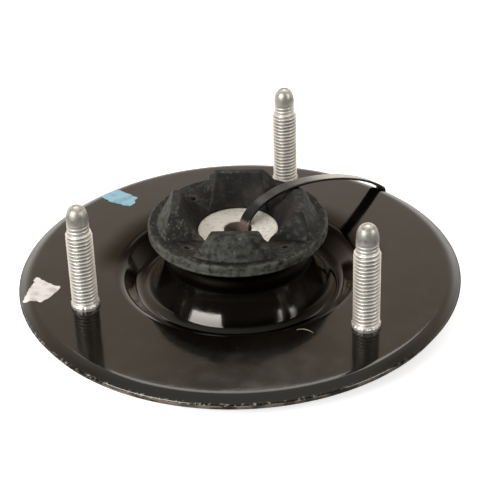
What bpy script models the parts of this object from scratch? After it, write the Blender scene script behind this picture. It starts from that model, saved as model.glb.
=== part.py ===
"""A strut mount: the rubber-cushioned top fixing of a car's suspension strut.

A round steel pressing with a rolled-down rim carries three screw studs. Its domed middle
stands in a round trough and has a hole, and two rubber cushions clamp the edge of that
hole between a flanged sleeve above and a thick washer below. A nylon cable tie runs
through the sleeve's bore and round the rim, and keeps the loose stack together.

Lengths are in metres and +Z is up. The plate's axis is Z, and the lowest point of the
tie, which the part lies on, is at z = 0.
"""

import math

import bmesh
import bpy
from mathutils import Matrix, Vector

# Clearance between two pieces that touch
GAP = 0.0003

# Pressed plate
SHEET = 0.0030
PLATE_RADIUS = 0.0850
RIM_WIDTH = 0.0055
RIM_BEND = 0.0060
RIM_TURN = math.radians(32)
TROUGH_DEPTH = 0.0080
TROUGH_FILLET = 0.0045
TROUGH_SLOPE = math.radians(52)
TROUGH_SHOULDER = 0.0050
DOME_FILLET = 0.0050
DOME_RADIUS = 0.0280
DOME_FLARE = 0.0092
DOME_HEIGHT = 0.0115
DOME_BEND = 0.0050
DOME_WALL_CURVE = 0.0300
DOME_HOLE_RADIUS = 0.0130

# Screw studs, with the place of each as its distance in from the rim and its direction
THREAD_RADIUS = 0.00495
STUD_HEIGHT = 0.0423
PILOT_RADIUS = 0.0041
PILOT_LENGTH = 0.0095
PILOT_TAPER = 0.0020
NOSE_LENGTH = 0.0055
NOSE_FLAT = 0.0016
NECK_RADIUS = 0.0052
NECK_HEIGHT = 0.0015
STUD_HEAD_RADIUS = 0.0080
STUD_HEAD_THICKNESS = 0.0028
STUD_PLACES = {
    "stud_left": (0.0227, math.radians(201.8)),
    "stud_right": (0.0226, math.radians(316.4)),
    "stud_back": (0.0151, math.radians(72.7)),
}

# Flanged sleeve
BORE_RADIUS = 0.0053
TUBE_RADIUS = 0.0080
DISC_RADIUS = 0.0153
DISC_THICKNESS = 0.0030
DISC_TOP = 0.0170
DISC_CHAMFER = 0.0004

# Upper cushion
FLANGE_RADIUS = 0.0342
FLANGE_TOP = 0.0212
FLANGE_THICKNESS = 0.0047
FLANGE_TOP_CORNER = 0.0013
FLANGE_BOTTOM_CORNER = 0.0009
FLANGE_ROOT_RADIUS = 0.0295
LIP_HEIGHT = 0.0006
LIP_WIDTH = 0.0010
LOBE_COUNT = 4
LOBE_TOP = 0.0290
LOBE_EDGE = 0.0008
LOBE_ROOT = 0.0037
CUSHION_TURN = math.radians(-3)
CREST_INNER = 0.0215
CREST_OUTER = 0.0248
CREST_INNER_HALF = 0.0086
CREST_OUTER_HALF = 0.0095
FOOT_INNER = 0.0179
FOOT_OUTER = 0.0302
FOOT_INNER_HALF = 0.0110
FOOT_OUTER_HALF = 0.0170
PINHOLE_PLACE = 0.0256
PINHOLE_RADIUS = 0.0010
PINHOLE_POINT_RADIUS = 0.0006
PINHOLE_DEPTH = 0.0016

# Lower cushion and the washer under it
LOWER_HEIGHT = 0.0110
LOWER_SIDE_ROOM = 0.0030
LOWER_TAPER = 0.0030
LOWER_CORNER = 0.0015
WASHER_RADIUS = 0.0200
WASHER_THICKNESS = 0.0025
WASHER_CHAMFER = 0.0004

# Cable tie
TIE_DIRECTION = math.radians(45)
TIE_WIDTH = 0.0047
TIE_THICKNESS = 0.0012
TIE_WRAP_RADIUS = 0.0027
TIE_TURN_RADIUS = 0.0025
TIE_RISE = 0.0158
TIE_LEAN = 0.0074
TIE_REACH = 0.0298
TIE_FALL = math.radians(41.2)
TIE_HEAD_LENGTH = 0.0070
TIE_HEAD_WIDTH = 0.0076
TIE_HEAD_HEIGHT = 0.0048
TIE_HEAD_WALL = 0.0012
TIE_HEAD_EDGE = 0.0004
TIE_TAIL_LENGTH = 0.0060

# Facets round each turned piece
PLATE_SEGMENTS = 60
CUSHION_SEGMENTS = 48
SLEEVE_SEGMENTS = 36
STUD_SEGMENTS = 24
PINHOLE_SEGMENTS = 8
ARC_STEPS = 5
WALL_STEPS = 4
CORNER_STEPS = 3
ARCH_STEPS = 28

# Points of a section or of the tie's band closer than this are one point
MERGE = 0.00001

# The trough's bottom, at the foot of the dome's wall
TROUGH_RADIUS = DOME_RADIUS + DOME_FLARE

# Heights above the ground that follow from the sizes
PLATE_TOP = TROUGH_DEPTH + SHEET + GAP + TIE_THICKNESS
DOME_TOP_Z = PLATE_TOP + DOME_HEIGHT
DOME_UNDER_Z = DOME_TOP_Z - SHEET
DISC_TOP_Z = PLATE_TOP + DISC_TOP
DISC_UNDER_Z = DISC_TOP_Z - DISC_THICKNESS
FLANGE_TOP_Z = PLATE_TOP + FLANGE_TOP
FLANGE_UNDER_Z = FLANGE_TOP_Z - FLANGE_THICKNESS
LOBE_TOP_Z = PLATE_TOP + LOBE_TOP
LOWER_TOP_Z = DOME_UNDER_Z - GAP
LOWER_UNDER_Z = LOWER_TOP_Z - LOWER_HEIGHT
WASHER_TOP_Z = LOWER_UNDER_Z - GAP
WASHER_UNDER_Z = WASHER_TOP_Z - WASHER_THICKNESS

PARTS = "strut_mount"
CUTTERS = "cutters"


def clear_scene():
    """Empty the scene and make the two collections that the model uses."""
    for obj in list(bpy.data.objects):
        bpy.data.objects.remove(obj, do_unlink=True)
    for name in (PARTS, CUTTERS):
        collection = bpy.data.collections.get(name) or bpy.data.collections.new(name)
        if name not in bpy.context.scene.collection.children:
            bpy.context.scene.collection.children.link(collection)


def material(name, colour, roughness, metallic):
    """A Principled material in one plain colour."""
    result = bpy.data.materials.new(name)
    result.use_nodes = True
    shader = result.node_tree.nodes["Principled BSDF"]
    shader.inputs["Base Color"].default_value = (*colour, 1.0)
    shader.inputs["Roughness"].default_value = roughness
    shader.inputs["Metallic"].default_value = metallic
    return result


def add_object(name, data, collection=PARTS):
    """Link new data to the scene as one object of a collection."""
    obj = bpy.data.objects.new(name, data)
    bpy.data.collections[collection].objects.link(obj)
    if collection == CUTTERS:
        obj.hide_render = True
        obj.display_type = "WIRE"
    return obj


def arc(centre, radius, start, end, steps=ARC_STEPS):
    """Points of a circular arc in the plane of a section, from one angle to the other."""
    angles = [start + (end - start) * step / steps for step in range(steps + 1)]
    return [(centre[0] + radius * math.cos(a), centre[1] + radius * math.sin(a)) for a in angles]


def bezier(controls, steps):
    """Points of the smooth curve that a few control points draw."""
    points = []
    for step in range(steps + 1):
        t = step / steps
        reached = [Vector(point) for point in controls]
        while len(reached) > 1:
            reached = [a.lerp(b, t) for a, b in zip(reached, reached[1:])]
        points.append(tuple(reached[0]))
    return points


def without_doubles(points):
    """The same section with each point that repeats the one before it left out."""
    kept = [points[0]]
    for point in points[1:]:
        if math.dist(point, kept[-1]) > MERGE:
            kept.append(point)
    return kept


def turned(name, section, segments, closed, collection=PARTS):
    """A body turned about Z from a section of (radius, height) points."""
    section = without_doubles(section)
    mesh = bpy.data.meshes.new(name)
    edges = [(i, i + 1) for i in range(len(section) - 1)]
    if closed:
        edges.append((len(section) - 1, 0))
    mesh.from_pydata([(radius, 0, height) for radius, height in section], edges, [])
    obj = add_object(name, mesh, collection)
    screw = obj.modifiers.new("turn", "SCREW")
    screw.axis = "Z"
    screw.angle = math.tau
    screw.steps = segments
    screw.render_steps = segments
    screw.use_merge_vertices = True
    screw.merge_threshold = MERGE
    screw.use_smooth_shade = True
    return obj


def combine(obj, operand, operation):
    """Cut an object by another, or join the other to it."""
    modifier = obj.modifiers.new(operand.name, "BOOLEAN")
    modifier.operation = operation
    modifier.object = operand
    modifier.solver = "EXACT"


def stud_centre(place):
    """Where a stud's axis crosses the plate's top face."""
    inset, direction = place
    distance = PLATE_RADIUS - inset
    return Vector((distance * math.cos(direction), distance * math.sin(direction), PLATE_TOP))


def dome_section():
    """The dome from the edge of its hole, over its bend and down its hollow wall to the foot.

    The wall is an arc that touches both the bend and the fillet at the foot, so its centre
    stands a known distance from each of theirs.
    """
    bend_centre = Vector((DOME_RADIUS - DOME_BEND, DOME_TOP_Z - DOME_BEND))
    foot_centre = Vector((TROUGH_RADIUS, PLATE_TOP - TROUGH_DEPTH + DOME_FILLET))
    apart = foot_centre - bend_centre
    to_bend, to_foot = DOME_WALL_CURVE + DOME_BEND, DOME_WALL_CURVE - DOME_FILLET
    lean = math.acos((to_bend**2 + apart.length_squared - to_foot**2) / (2 * to_bend * apart.length))
    top = math.atan2(apart.y, apart.x) + lean
    wall_centre = bend_centre + to_bend * Vector((math.cos(top), math.sin(top)))
    below = wall_centre - foot_centre
    low = math.atan2(below.y, below.x)
    over = arc(bend_centre, DOME_BEND, math.radians(90), top, WALL_STEPS)
    wall = arc(wall_centre, DOME_WALL_CURVE, top + math.pi, low + math.pi, WALL_STEPS)
    foot = arc(foot_centre, DOME_FILLET, low - math.pi, math.radians(-90), WALL_STEPS)
    return [(DOME_HOLE_RADIUS, DOME_TOP_Z), *over, *wall, *foot]


def trough_section():
    """The trough's outer side: a hollow fillet, a straight slope and the rounded shoulder."""
    turn = TROUGH_SLOPE - math.radians(90)
    rounded_rise = (TROUGH_FILLET + TROUGH_SHOULDER) * (1 - math.cos(TROUGH_SLOPE))
    slope_run = (TROUGH_DEPTH - rounded_rise) / math.tan(TROUGH_SLOPE)
    spread = (TROUGH_FILLET + TROUGH_SHOULDER) * math.sin(TROUGH_SLOPE) + slope_run
    hollow_centre = (TROUGH_RADIUS, PLATE_TOP - TROUGH_DEPTH + TROUGH_FILLET)
    shoulder_centre = (TROUGH_RADIUS + spread, PLATE_TOP - TROUGH_SHOULDER)
    hollow = arc(hollow_centre, TROUGH_FILLET, math.radians(-90), turn)
    shoulder = arc(shoulder_centre, TROUGH_SHOULDER, math.pi + turn, math.radians(90))
    return [*hollow, *shoulder]


def rim_section():
    """The rim from the end of the flat to its cut edge, rolled down on its bend."""
    centre = (PLATE_RADIUS - RIM_WIDTH, PLATE_TOP - RIM_BEND)
    rolled = arc(centre, RIM_BEND, math.radians(90), math.radians(90) - RIM_TURN)
    run = PLATE_RADIUS - rolled[-1][0]
    edge = (PLATE_RADIUS, rolled[-1][1] - run * math.tan(RIM_TURN))
    return [*rolled, edge]


def make_plate(finish):
    """The pressing: its upper surface is turned, then given the sheet's thickness below."""
    upper_surface = [*dome_section(), *trough_section(), *rim_section()]
    plate = turned("mounting_plate", upper_surface, PLATE_SEGMENTS, False)
    wall = plate.modifiers.new("sheet", "SOLIDIFY")
    wall.thickness = SHEET
    wall.offset = -1.0
    wall.use_even_offset = True
    for name, place in STUD_PLACES.items():
        hole = turned(
            name + "_hole",
            [(0, SHEET), (NECK_RADIUS + GAP, SHEET), (NECK_RADIUS + GAP, -2 * SHEET), (0, -2 * SHEET)],
            STUD_SEGMENTS,
            False,
            CUTTERS,
        )
        hole.location = stud_centre(place)
        combine(plate, hole, "DIFFERENCE")
    plate.data.materials.append(finish)
    return plate


def stud_section():
    """A stud from its nose down: pilot, thread, pressed neck and the head under the plate."""
    nose = []
    for step in range(ARC_STEPS + 1):
        t = math.radians(90) * step / ARC_STEPS
        radius = NOSE_FLAT + (PILOT_RADIUS - NOSE_FLAT) * math.sin(t)
        nose.append((radius, STUD_HEIGHT - NOSE_LENGTH * (1 - math.cos(t))))
    head_top = -SHEET - GAP
    return [
        (0, STUD_HEIGHT),
        *nose,
        (PILOT_RADIUS, STUD_HEIGHT - PILOT_LENGTH),
        (THREAD_RADIUS, STUD_HEIGHT - PILOT_LENGTH - PILOT_TAPER),
        (THREAD_RADIUS, NECK_HEIGHT),
        (NECK_RADIUS, NECK_HEIGHT),
        (NECK_RADIUS, head_top),
        (STUD_HEAD_RADIUS, head_top),
        (STUD_HEAD_RADIUS, head_top - STUD_HEAD_THICKNESS),
        (0, head_top - STUD_HEAD_THICKNESS),
    ]


def make_studs(finish):
    """The three studs, pressed up through the plate from below."""
    for name, place in STUD_PLACES.items():
        stud = turned(name, stud_section(), STUD_SEGMENTS, False)
        stud.location = stud_centre(place)
        stud.data.materials.append(finish)


def lobe_outline(level):
    """A lobe's level section, as (outward, sideways) points in order round it.

    Level 0 is the foot on the flange, where both long edges are arcs about the axis, and
    level 1 is the crest, where they are straight. Levels below 0 carry the sides on down.
    """

    def between(foot, crest):
        return foot + (crest - foot) * level

    inner, outer = between(FOOT_INNER, CREST_INNER), between(FOOT_OUTER, CREST_OUTER)
    inner_half = between(FOOT_INNER_HALF, CREST_INNER_HALF)
    outer_half = between(FOOT_OUTER_HALF, CREST_OUTER_HALF)
    roundness = min(1.0, 1 - level)
    outline = []
    for radius, half, direction in ((outer, outer_half, 1), (inner, inner_half, -1)):
        for step in range(ARC_STEPS + 2):
            side = direction * half * (2 * step / (ARC_STEPS + 1) - 1)
            outline.append((radius - roundness * (radius - math.sqrt(radius**2 - side**2)), side))
    return outline


def shrunk(outline, margin):
    """The same outline drawn in towards its middle, by a margin at its widest."""
    middle = sum((Vector(point) for point in outline), Vector((0, 0))) / len(outline)
    offsets = [Vector(point) - middle for point in outline]
    along = 1 - margin / max(abs(offset.x) for offset in offsets)
    across = 1 - margin / max(abs(offset.y) for offset in offsets)
    return [(middle.x + offset.x * along, middle.y + offset.y * across) for offset in offsets]


def make_lobe(index):
    """One lobe, lofted from a curved foot inside the flange to a straight, eased crest."""
    root = FLANGE_TOP_Z - LOBE_ROOT
    shoulder = LOBE_TOP_Z - LOBE_EDGE
    height = LOBE_TOP_Z - FLANGE_TOP_Z
    levels = [
        (root, lobe_outline(-LOBE_ROOT / height)),
        (FLANGE_TOP_Z, lobe_outline(0)),
        ((FLANGE_TOP_Z + shoulder) / 2, lobe_outline((shoulder - FLANGE_TOP_Z) / 2 / height)),
        (shoulder, lobe_outline(1 - LOBE_EDGE / height)),
        (LOBE_TOP_Z, shrunk(lobe_outline(1), LOBE_EDGE)),
    ]
    model = bmesh.new()
    rings = [[model.verts.new((u, v, z)) for u, v in outline] for z, outline in levels]
    for below, above in zip(rings, rings[1:]):
        for i in range(len(below)):
            j = (i + 1) % len(below)
            model.faces.new((below[i], below[j], above[j], above[i]))
    model.faces.new(list(reversed(rings[0])))
    model.faces.new(rings[-1])
    bmesh.ops.recalc_face_normals(model, faces=model.faces)
    mesh = bpy.data.meshes.new("lobe_%d" % index)
    model.to_mesh(mesh)
    model.free()
    lobe = add_object("lobe_%d" % index, mesh, CUTTERS)
    lobe.rotation_euler.z = CUSHION_TURN + math.tau * index / LOBE_COUNT
    return lobe


def make_pinhole(index):
    """A cutter for the pinhole that the mould left in the valley after a lobe."""
    model = bmesh.new()
    bmesh.ops.create_cone(
        model,
        cap_ends=True,
        segments=PINHOLE_SEGMENTS,
        radius1=PINHOLE_POINT_RADIUS,
        radius2=PINHOLE_RADIUS,
        depth=2 * PINHOLE_DEPTH,
    )
    mesh = bpy.data.meshes.new("pinhole_%d" % index)
    model.to_mesh(mesh)
    model.free()
    pinhole = add_object("pinhole_%d" % index, mesh, CUTTERS)
    direction = CUSHION_TURN + math.tau * (index + 0.5) / LOBE_COUNT
    place = Vector((PINHOLE_PLACE * math.cos(direction), PINHOLE_PLACE * math.sin(direction)))
    pinhole.location = (place.x, place.y, valley_height(PINHOLE_PLACE))
    return pinhole


def valley_height(radius):
    """The height of the flange's top face, which rises from the lip to the rim's corner."""
    low = (DISC_RADIUS + GAP + LIP_WIDTH, DISC_TOP_Z + 2 * LIP_HEIGHT)
    high = (FLANGE_RADIUS - FLANGE_TOP_CORNER, FLANGE_TOP_Z)
    return low[1] + (high[1] - low[1]) * (radius - low[0]) / (high[0] - low[0])


def upper_cushion_section():
    """The upper cushion's ring: the disc's seat, the round flange and the spigot below."""
    hole = TUBE_RADIUS + GAP
    recess = DISC_RADIUS + GAP
    lip = DISC_TOP_Z + LIP_HEIGHT
    top_corner = (FLANGE_RADIUS - FLANGE_TOP_CORNER, FLANGE_TOP_Z - FLANGE_TOP_CORNER)
    low_corner = (FLANGE_RADIUS - FLANGE_BOTTOM_CORNER, FLANGE_UNDER_Z + FLANGE_BOTTOM_CORNER)
    seat = DOME_TOP_Z + GAP
    spigot = DOME_HOLE_RADIUS - GAP
    return [
        (hole, DISC_UNDER_Z - GAP),
        (recess, DISC_UNDER_Z - GAP),
        (recess, lip),
        (recess + LIP_WIDTH, valley_height(recess + LIP_WIDTH)),
        *arc(top_corner, FLANGE_TOP_CORNER, math.radians(90), 0, CORNER_STEPS),
        *arc(low_corner, FLANGE_BOTTOM_CORNER, 0, math.radians(-90), CORNER_STEPS),
        (FLANGE_ROOT_RADIUS, FLANGE_UNDER_Z),
        (DOME_RADIUS - DOME_BEND, seat),
        (spigot, seat),
        (spigot, DOME_UNDER_Z),
        (hole, DOME_UNDER_Z),
    ]


def make_upper_cushion(finish):
    """The rubber moulding that the disc sits in, with its lobes and the pinholes between them.

    It is loose in the plate, and sits turned a little from the plate's own axes.
    """
    cushion = turned("upper_cushion", upper_cushion_section(), CUSHION_SEGMENTS, True)
    for index in range(LOBE_COUNT):
        combine(cushion, make_lobe(index), "UNION")
    for index in range(LOBE_COUNT):
        combine(cushion, make_pinhole(index), "DIFFERENCE")
    cushion.data.materials.append(finish)
    return cushion


def make_sleeve(finish):
    """The flanged sleeve: a disc that the strut's nut clamps and a tube down to the washer."""
    section = [
        (BORE_RADIUS, DISC_TOP_Z),
        (DISC_RADIUS - DISC_CHAMFER, DISC_TOP_Z),
        (DISC_RADIUS, DISC_TOP_Z - DISC_CHAMFER),
        (DISC_RADIUS, DISC_UNDER_Z),
        (TUBE_RADIUS, DISC_UNDER_Z),
        (TUBE_RADIUS, WASHER_TOP_Z + GAP),
        (BORE_RADIUS, WASHER_TOP_Z + GAP),
    ]
    sleeve = turned("flanged_sleeve", section, SLEEVE_SEGMENTS, True)
    sleeve.data.materials.append(finish)
    return sleeve


def make_lower_cushion(finish):
    """The lower rubber ring, which takes the strut's pull against the dome's underside."""
    hole = TUBE_RADIUS + GAP
    wide = DOME_RADIUS - SHEET - LOWER_SIDE_ROOM
    narrow = wide - LOWER_TAPER
    top_corner = (wide - LOWER_CORNER, LOWER_TOP_Z - LOWER_CORNER)
    low_corner = (narrow - LOWER_CORNER, LOWER_UNDER_Z + LOWER_CORNER)
    section = [
        (hole, LOWER_TOP_Z),
        *arc(top_corner, LOWER_CORNER, math.radians(90), 0, CORNER_STEPS),
        *arc(low_corner, LOWER_CORNER, 0, math.radians(-90), CORNER_STEPS),
        (hole, LOWER_UNDER_Z),
    ]
    cushion = turned("lower_cushion", section, CUSHION_SEGMENTS, True)
    cushion.data.materials.append(finish)
    return cushion


def make_washer(finish):
    """The thick washer that the sleeve's tube and the lower cushion stand on."""
    edge = WASHER_RADIUS - WASHER_CHAMFER
    section = [
        (BORE_RADIUS, WASHER_TOP_Z),
        (edge, WASHER_TOP_Z),
        (WASHER_RADIUS, WASHER_TOP_Z - WASHER_CHAMFER),
        (WASHER_RADIUS, WASHER_UNDER_Z + WASHER_CHAMFER),
        (edge, WASHER_UNDER_Z),
        (BORE_RADIUS, WASHER_UNDER_Z),
    ]
    washer = turned("lower_washer", section, SLEEVE_SEGMENTS, True)
    washer.data.materials.append(finish)
    return washer


def tangent_angle(centre_a, radius_a, centre_b, radius_b):
    """The angle from each centre to where one line touches both circles from below."""
    across, up = centre_b[0] - centre_a[0], centre_b[1] - centre_a[1]
    return math.atan2(up, across) - math.acos((radius_a - radius_b) / math.hypot(across, up))


def tie_route():
    """The tie's middle line, as (outward, height) points of one closed loop.

    It climbs the bore, arches over the valley between two lobes, wraps the rim's cut
    edge, and runs back under the trough, tight against it, to the washer's bore.
    """
    lift = GAP + TIE_THICKNESS / 2
    inside = math.sqrt(BORE_RADIUS**2 - (TIE_WIDTH / 2) ** 2) - GAP - lift
    edge_out = (math.cos(-RIM_TURN), math.sin(-RIM_TURN))
    edge_top = rim_section()[-1]
    wrap = (
        edge_top[0] - edge_out[0] * lift + edge_out[1] * SHEET / 2,
        edge_top[1] - edge_out[1] * lift - edge_out[0] * SHEET / 2,
    )
    trough = (TROUGH_RADIUS, PLATE_TOP - TROUGH_DEPTH + TROUGH_FILLET)
    trough_radius = TROUGH_FILLET + SHEET + lift
    turn = (inside + TIE_TURN_RADIUS, WASHER_UNDER_Z + TIE_THICKNESS)
    outer_touch = tangent_angle(trough, trough_radius, wrap, TIE_WRAP_RADIUS)
    inner_touch = tangent_angle(turn, TIE_TURN_RADIUS, trough, trough_radius)
    leave = math.radians(90) - TIE_FALL
    wrapped = arc(wrap, TIE_WRAP_RADIUS, leave, outer_touch, 2 * ARC_STEPS)
    under = arc(trough, trough_radius, outer_touch, inner_touch)
    turned_up = arc(turn, TIE_TURN_RADIUS, inner_touch, -math.pi, 2 * ARC_STEPS)
    start = Vector((inside, DISC_TOP_Z))
    end = Vector(wrapped[0])
    rise = start + Vector((TIE_LEAN, TIE_RISE))
    fall = end + TIE_REACH * Vector((-math.cos(TIE_FALL), math.sin(TIE_FALL)))
    arch = bezier((start, rise, fall, end), ARCH_STEPS)
    return [*arch, *wrapped[1:], *under, *turned_up]


def offset_loop(route, distance):
    """A closed loop beside another, at a distance to the left of its travel."""
    result = []
    for i, point in enumerate(route):
        before, after = Vector(route[i - 1]), Vector(route[(i + 1) % len(route)])
        along = (after - before).normalized()
        result.append(Vector(point) + distance * Vector((-along.y, along.x)))
    return result


def tie_frame():
    """The upright plane through the axis that the tie lies in, as a matrix."""
    across, out = math.sin(TIE_DIRECTION), math.cos(TIE_DIRECTION)
    return Matrix(((out, 0, across, 0), (across, 0, -out, 0), (0, 1, 0, 0), (0, 0, 0, 1)))


def box(name, size, frame, centre):
    """A box of given sizes in a frame, centred at a point of that frame."""
    model = bmesh.new()
    bmesh.ops.create_cube(model, size=1.0)
    bmesh.ops.scale(model, vec=size, verts=model.verts)
    mesh = bpy.data.meshes.new(name)
    model.to_mesh(mesh)
    model.free()
    obj = add_object(name, mesh, CUTTERS)
    obj.matrix_world = frame @ Matrix.Translation(centre)
    return obj


def make_tie(finish):
    """The nylon tie, as one flat band with its locking head and the stub of its tail."""
    route = tie_route()
    curve = bpy.data.curves.new("tie_band", "CURVE")
    curve.dimensions = "2D"
    curve.fill_mode = "BOTH"
    curve.extrude = TIE_WIDTH / 2
    for side in (1, -1):
        loop = offset_loop(route, side * TIE_THICKNESS / 2)
        spline = curve.splines.new("POLY")
        spline.points.add(len(loop) - 1)
        for point, place in zip(spline.points, loop):
            point.co = (place.x, place.y, 0, 1)
        spline.use_cyclic_u = True
    band = add_object("tie_band", curve)
    bpy.context.view_layer.update()
    evaluated = band.evaluated_get(bpy.context.evaluated_depsgraph_get())
    mesh = bpy.data.meshes.new_from_object(evaluated)
    bpy.data.objects.remove(band, do_unlink=True)
    model = bmesh.new()
    model.from_mesh(mesh)
    bmesh.ops.remove_doubles(model, verts=model.verts, dist=MERGE)
    model.to_mesh(mesh)
    model.free()
    mesh.name = "cable_tie"
    mesh.materials.clear()
    tie = add_object("cable_tie", mesh)
    tie.matrix_world = tie_frame()
    for name, size, centre in tie_blocks(route):
        block = box(name, size, tie_frame(), centre)
        eased = block.modifiers.new("edges", "BEVEL")
        eased.width = TIE_HEAD_EDGE
        eased.limit_method = "NONE"
        combine(tie, block, "UNION")
    tie.data.materials.append(finish)
    return tie


def band_height(route, place):
    """The height of the band's lower run at a distance from the axis."""
    low = [point for point in route if point[1] < PLATE_TOP - SHEET]
    for a, b in zip(low, low[1:]):
        if (a[0] - place) * (b[0] - place) <= 0 and a[0] > b[0]:
            return a[1] + (b[1] - a[1]) * (a[0] - place) / (a[0] - b[0])
    return low[0][1]


def tie_blocks(route):
    """The head, half way across the plate's flat ring and under it, and the tail's stub."""
    place = (trough_section()[-1][0] + rim_section()[0][0]) / 2
    head_low = band_height(route, place) - TIE_THICKNESS
    head_centre = (place, head_low + TIE_HEAD_HEIGHT / 2, 0)
    tail_height = head_low + TIE_HEAD_HEIGHT - TIE_HEAD_WALL - TIE_THICKNESS / 2
    tail_length = TIE_HEAD_LENGTH / 2 + TIE_TAIL_LENGTH
    tail_centre = (place - tail_length / 2, tail_height, 0)
    return [
        ("tie_head", (TIE_HEAD_LENGTH, TIE_HEAD_HEIGHT, TIE_HEAD_WIDTH), head_centre),
        ("tie_tail", (tail_length, TIE_THICKNESS, TIE_WIDTH), tail_centre),
    ]


def build():
    """Make every piece of the mount."""
    clear_scene()
    make_plate(material("black_coat", (0.012, 0.011, 0.010), 0.12, 0.0))
    make_studs(material("zinc", (0.62, 0.61, 0.58), 0.38, 1.0))
    make_upper_cushion(material("rubber", (0.035, 0.035, 0.034), 0.65, 0.0))
    make_sleeve(material("bare_steel", (0.70, 0.68, 0.63), 0.35, 1.0))
    make_lower_cushion(material("lower_rubber", (0.030, 0.030, 0.030), 0.70, 0.0))
    make_washer(material("plain_steel", (0.42, 0.41, 0.40), 0.40, 1.0))
    make_tie(material("nylon", (0.040, 0.038, 0.036), 0.35, 0.0))


build()
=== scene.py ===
"""The strut mount dressed for its picture: fine surfaces, materials, a plain studio and the camera.

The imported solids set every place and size. Each piece here is a smooth surface worked out
from the same sizes and stands for the solid that it names. Sizes are in millimetres in
this file and become metres where a mesh is made.
"""

import math

import bpy
import numpy as np
from mathutils import Matrix, Quaternion, Vector


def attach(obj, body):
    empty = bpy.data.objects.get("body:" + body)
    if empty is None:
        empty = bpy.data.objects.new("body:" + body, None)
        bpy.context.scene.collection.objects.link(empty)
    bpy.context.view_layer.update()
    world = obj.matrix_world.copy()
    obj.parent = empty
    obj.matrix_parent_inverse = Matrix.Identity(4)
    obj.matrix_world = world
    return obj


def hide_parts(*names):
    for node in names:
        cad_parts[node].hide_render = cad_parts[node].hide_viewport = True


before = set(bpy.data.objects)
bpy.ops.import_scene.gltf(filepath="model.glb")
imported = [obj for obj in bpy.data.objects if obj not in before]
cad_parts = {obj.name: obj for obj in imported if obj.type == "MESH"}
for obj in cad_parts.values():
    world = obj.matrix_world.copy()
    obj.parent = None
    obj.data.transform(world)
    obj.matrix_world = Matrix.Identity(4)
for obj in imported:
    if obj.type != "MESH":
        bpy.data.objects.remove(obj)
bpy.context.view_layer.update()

MM = 0.001
GAP = 0.3

# Pressed plate
SHEET = 3.0
PLATE_TOP = 12.5
PLATE_RADIUS = 85.0
RIM_WIDTH = 5.5
RIM_BEND = 6.0
RIM_TURN = math.radians(32)
TROUGH_DEPTH = 8.0
TROUGH_FILLET = 4.5
TROUGH_SLOPE = math.radians(52)
TROUGH_SHOULDER = 5.0
DOME_FILLET = 5.0
DOME_RADIUS = 28.0
DOME_FLARE = 9.2
DOME_HEIGHT = 11.5
DOME_BEND = 5.0
DOME_WALL_CURVE = 30.0
DOME_HOLE_RADIUS = 13.0
TROUGH_RADIUS = DOME_RADIUS + DOME_FLARE
DOME_TOP = PLATE_TOP + DOME_HEIGHT
DOME_UNDER = DOME_TOP - SHEET

# Screw studs: how far each stands in from the rim, its direction and the turn of its thread
STUDS = {
    "stud_left": (22.7, math.radians(201.8), 0.3),
    "stud_right": (22.6, math.radians(316.4), 2.1),
    "stud_back": (15.1, math.radians(72.7), 4.0),
}
STUD_HEIGHT = 42.3
THREAD_RADIUS = 4.95
THREAD_PITCH = 1.5
THREAD_DEPTH = 0.8
PILOT_RADIUS = 4.1
PILOT_LENGTH = 9.5
PILOT_TAPER = 2.0
NOSE_LENGTH = 5.5
NOSE_FLAT = 1.6
NECK_RADIUS = 5.2
NECK_HEIGHT = 1.5
STUD_HEAD_RADIUS = 8.0
STUD_HEAD_THICKNESS = 2.8
PILOT_START = STUD_HEIGHT - PILOT_LENGTH
THREAD_END = PILOT_START - PILOT_TAPER

# Flanged sleeve
BORE_RADIUS = 5.3
TUBE_RADIUS = 8.0
DISC_RADIUS = 15.3
DISC_THICKNESS = 3.0
DISC_TOP = PLATE_TOP + 17.0
DISC_UNDER = DISC_TOP - DISC_THICKNESS

# Upper cushion
FLANGE_RADIUS = 34.2
FLANGE_TOP = PLATE_TOP + 21.2
FLANGE_THICKNESS = 4.7
FLANGE_CORNER = 1.3
TOP_END = FLANGE_RADIUS - FLANGE_CORNER
FLANGE_ROOT_RADIUS = 29.5
CONE_DROP = 3.0
LIP_HEIGHT = 0.6
LIP_WIDTH = 1.0
LOBE_HEIGHT = 7.8
CREST_INNER = 21.5
CREST_OUTER = 24.8
CREST_INNER_HALF = 8.6
CREST_OUTER_HALF = 9.5
FOOT_INNER = 17.9
FOOT_OUTER = 30.2
FOOT_INNER_HALF = 11.0
FOOT_OUTER_HALF = 17.0
CUSHION_TURN = math.radians(-3)
PINHOLE_PLACE = 25.6
PINHOLE_RADIUS = 1.3
PINHOLE_DEPTH = 1.6

# Lower cushion and washer
LOWER_TOP = DOME_UNDER - GAP
LOWER_UNDER = LOWER_TOP - 11.0
LOWER_WIDE = 22.0
LOWER_NARROW = 19.0
WASHER_RADIUS = 20.0
WASHER_TOP = LOWER_UNDER - GAP
WASHER_UNDER = WASHER_TOP - 2.5

# Cable tie
TIE_DIRECTION = math.radians(45)
TIE_WIDTH = 4.7
TIE_THICKNESS = 1.2
TIE_WRAP_RADIUS = 2.7
TIE_TURN_RADIUS = 2.5
TIE_RISE = 15.8
TIE_LEAN = 7.4
TIE_REACH = 29.8
TIE_FALL = math.radians(41.2)
TIE_HEAD = (7.0, 4.8, 7.6)
TIE_HEAD_WALL = 1.2
TIE_TAIL_LENGTH = 6.0

# Marks on the plate, as the corners (x, y) of each dab of paint
BLUE_DAB = [(-56.9, 58.1), (-53.4, 63.0), (-49.1, 62.7), (-41.2, 55.4), (-44.3, 48.9), (-51.9, 51.9)]
WHITE_DAB = [(-78.3, -2.7), (-68.4, -10.7), (-70.9, -16.7), (-75.1, -20.5), (-82.1, -18.1), (-80.4, -12.0)]

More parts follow.
